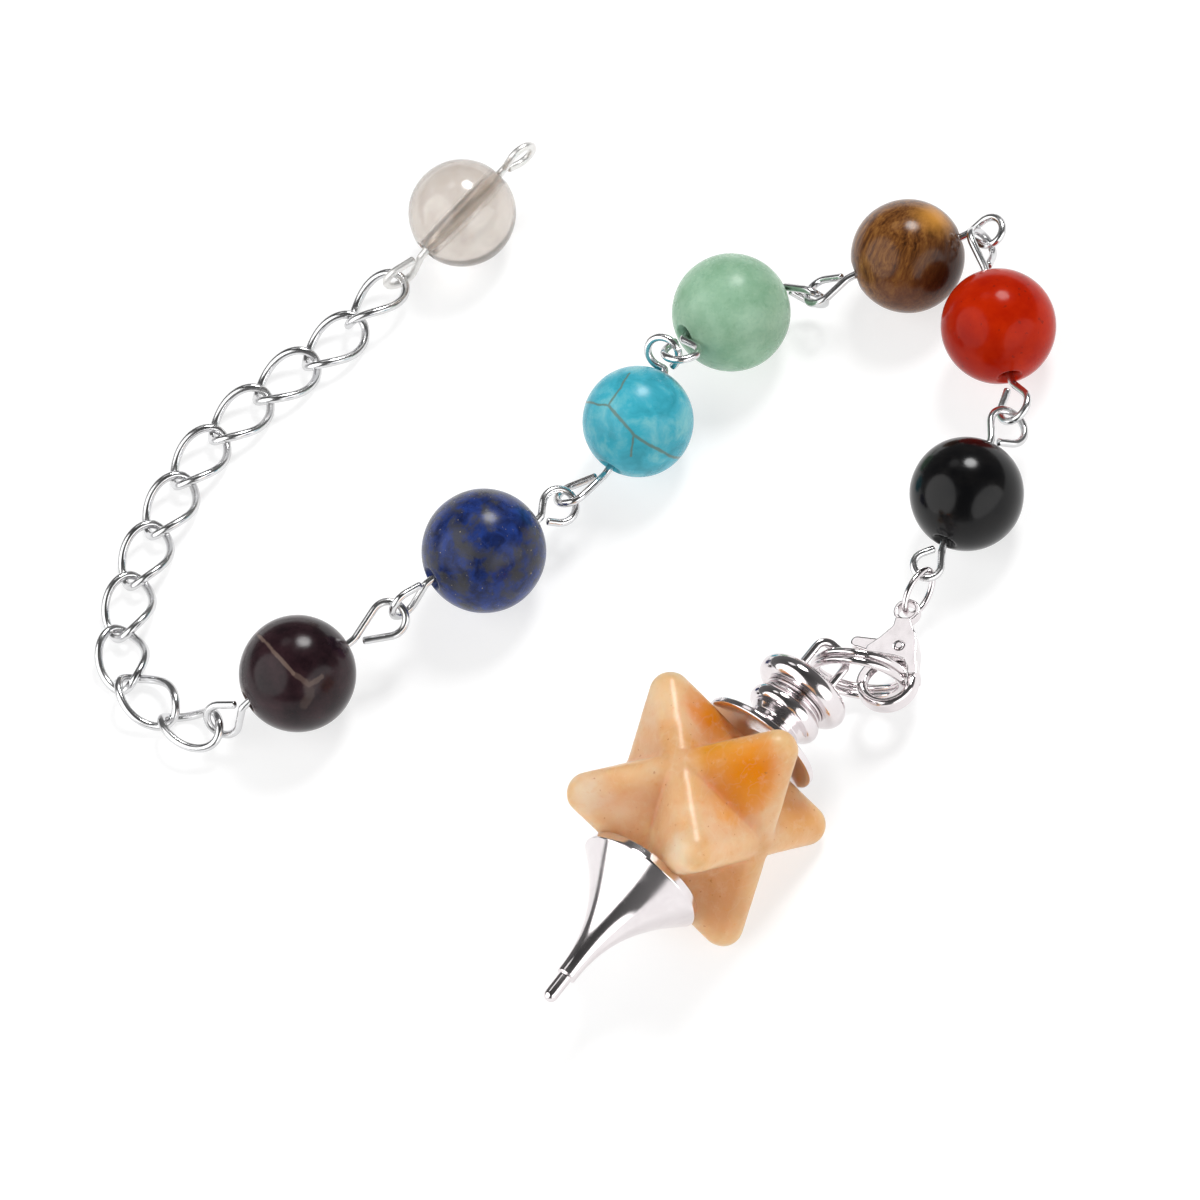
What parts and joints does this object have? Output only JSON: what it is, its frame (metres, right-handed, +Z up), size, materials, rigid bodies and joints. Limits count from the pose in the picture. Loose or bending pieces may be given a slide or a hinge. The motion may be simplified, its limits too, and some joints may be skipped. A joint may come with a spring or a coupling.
{
  "type": "pendulum pendant",
  "caption": "Dowsing pendulum: a star-shaped stone between a pointed metal cone and a cap, on a string of round stone beads with a clasp and a short curb chain.",
  "frame": {"origin": "middle of the layout's bounding box, on the surface that it lies on", "axes": "+Z up from the surface; +Y away from the viewer of the picture, +X to the viewer's right; the pendant's axis lies level and points 35.3 degrees from +X towards +Y"},
  "size_m": [0.0706, 0.0704, 0.0124],
  "materials": {
    "silver": "polished",
    "star_stone": "polished",
    "black_stone": "polished",
    "red_stone": "polished",
    "tiger_stone": "polished",
    "green_stone": "polished",
    "turquoise_stone": "polished",
    "lapis_stone": "polished",
    "amethyst_stone": "polished",
    "clear_stone": "polished"
  },
  "bodies": {
    "pendulum": {"star_stone": "star_stone", "cone_point": "silver", "cap": "silver", "split_ring": "silver", "clasp_body": "silver", "clasp_rivet": "silver", "clasp_link": "silver", "bead_black": "black_stone", "bead_red": "red_stone", "bead_tiger": "tiger_stone", "bead_green": "green_stone", "bead_turquoise": "turquoise_stone", "bead_lapis": "lapis_stone", "bead_amethyst": "amethyst_stone", "bead_clear": "clear_stone", "pin_black": "silver", "pin_red": "silver", "pin_tiger": "silver", "pin_green": "silver", "pin_turquoise": "silver", "pin_lapis": "silver", "pin_amethyst": "silver", "pin_clear": "silver", "chain_link_01": "silver", "chain_link_02": "silver", "chain_link_03": "silver", "chain_link_04": "silver", "chain_link_05": "silver", "chain_link_06": "silver", "chain_link_07": "silver", "chain_link_08": "silver", "chain_link_09": "silver", "chain_link_10": "silver", "chain_link_11": "silver"},
    "lever": {"clasp_lever": "silver"}
  },
  "joints": [
    {"name": "clasp_lever_hinge", "type": "hinge", "parent": "pendulum", "child": "lever", "pos_m": [0.01708, -0.01599, 0.003], "axis": [0, 0, -1], "range_deg": [0, 25], "stiffness_Nm_per_rad": 0.00001, "springref_deg": -2.86}
  ]
}
